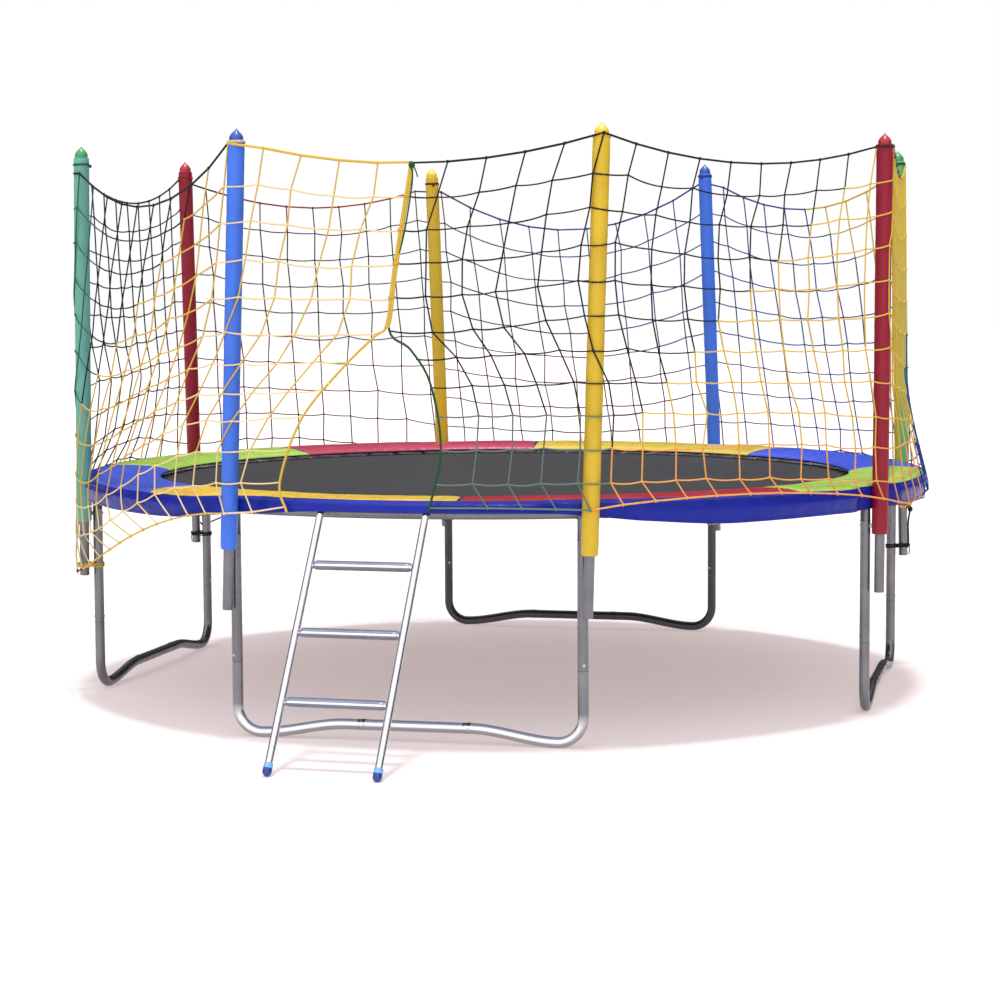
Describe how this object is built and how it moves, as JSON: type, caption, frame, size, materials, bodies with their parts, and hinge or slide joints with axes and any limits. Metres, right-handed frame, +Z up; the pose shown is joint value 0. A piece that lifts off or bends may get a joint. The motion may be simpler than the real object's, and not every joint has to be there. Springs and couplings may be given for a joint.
{
  "type": "trampoline",
  "caption": "Round garden trampoline on W-shaped legs, with padded edge, a safety net on eight foam-sleeved poles and a hook-on ladder.",
  "frame": {"origin": "on the ground, at the middle of the footprint including the ladder; the ring's own centre is 0.2877 m further back on +Y", "axes": "+Z up; -Y is the front, where the ladder and the doorway are; +X to the right seen from the front"},
  "size_m": [3.7815, 4.3574, 2.369],
  "materials": {
    "galvanised_steel": "satin",
    "spring_steel": "satin",
    "ladder_metal": "satin",
    "foot_blue": "satin",
    "mat_grey": "matte",
    "pad_blue": "gloss",
    "net_black": "matte",
    "net_maroon": "matte",
    "net_yellow": "matte",
    "net_green": "matte",
    "sleeve_yellow": "satin",
    "cap_yellow": "gloss",
    "sleeve_crimson": "satin",
    "cap_crimson": "gloss",
    "sleeve_green": "satin",
    "cap_green": "gloss",
    "sleeve_blue": "satin",
    "cap_blue": "gloss"
  },
  "bodies": {
    "frame": {"leg_base_1": "galvanised_steel", "leg_base_2": "galvanised_steel", "leg_base_3": "galvanised_steel", "leg_base_4": "galvanised_steel", "leg_upright_1": "galvanised_steel", "leg_upright_2": "galvanised_steel", "leg_upright_3": "galvanised_steel", "leg_upright_4": "galvanised_steel", "leg_upright_5": "galvanised_steel", "leg_upright_6": "galvanised_steel", "leg_upright_7": "galvanised_steel", "leg_upright_8": "galvanised_steel", "frame_rail_1": "galvanised_steel", "frame_rail_2": "galvanised_steel", "frame_rail_3": "galvanised_steel", "frame_rail_4": "galvanised_steel", "frame_rail_5": "galvanised_steel", "frame_rail_6": "galvanised_steel", "frame_rail_7": "galvanised_steel", "frame_rail_8": "galvanised_steel", "net_pole_1": "galvanised_steel", "net_pole_2": "galvanised_steel", "net_pole_3": "galvanised_steel", "net_pole_4": "galvanised_steel", "net_pole_5": "galvanised_steel", "net_pole_6": "galvanised_steel", "net_pole_7": "galvanised_steel", "net_pole_8": "galvanised_steel", "pole_sleeve_1": "sleeve_yellow", "pole_sleeve_2": "sleeve_crimson", "pole_sleeve_3": "sleeve_green", "pole_sleeve_4": "sleeve_blue", "pole_sleeve_5": "sleeve_yellow", "pole_sleeve_6": "sleeve_crimson", "pole_sleeve_7": "sleeve_green", "pole_sleeve_8": "sleeve_blue", "pole_cap_1": "cap_yellow", "pole_cap_2": "cap_crimson", "pole_cap_3": "cap_green", "pole_cap_4": "cap_blue", "pole_cap_5": "cap_yellow", "pole_cap_6": "cap_crimson", "pole_cap_7": "cap_green", "pole_cap_8": "cap_blue", "spring_pad": "pad_blue", "net_right": "net_black", "net_back": "net_maroon", "net_left": "net_yellow", "net_door_left": "net_yellow", "net_door_right": "net_green"},
    "bed": {"jumping_mat": "mat_grey", "springs": "spring_steel"},
    "ladder": {"ladder_rail_left": "ladder_metal", "ladder_rail_right": "ladder_metal", "ladder_step_1": "ladder_metal", "ladder_step_2": "ladder_metal", "ladder_step_3": "ladder_metal", "ladder_foot_left": "foot_blue", "ladder_foot_right": "foot_blue"}
  },
  "joints": [
    {"name": "bed_bounce", "type": "slide", "parent": "frame", "child": "bed", "axis": [0, 0, 1], "range_m": [-0.4, 0], "stiffness_N_per_m": 4500, "springref_m": 0.06, "deforming": ["springs"]},
    {"name": "ladder_swing", "type": "hinge", "parent": "frame", "child": "ladder", "pos_m": [-0.08151, -1.50724, 0.904], "axis": [-0.999, 0.0454, 0], "range_deg": [0, 25]}
  ]
}
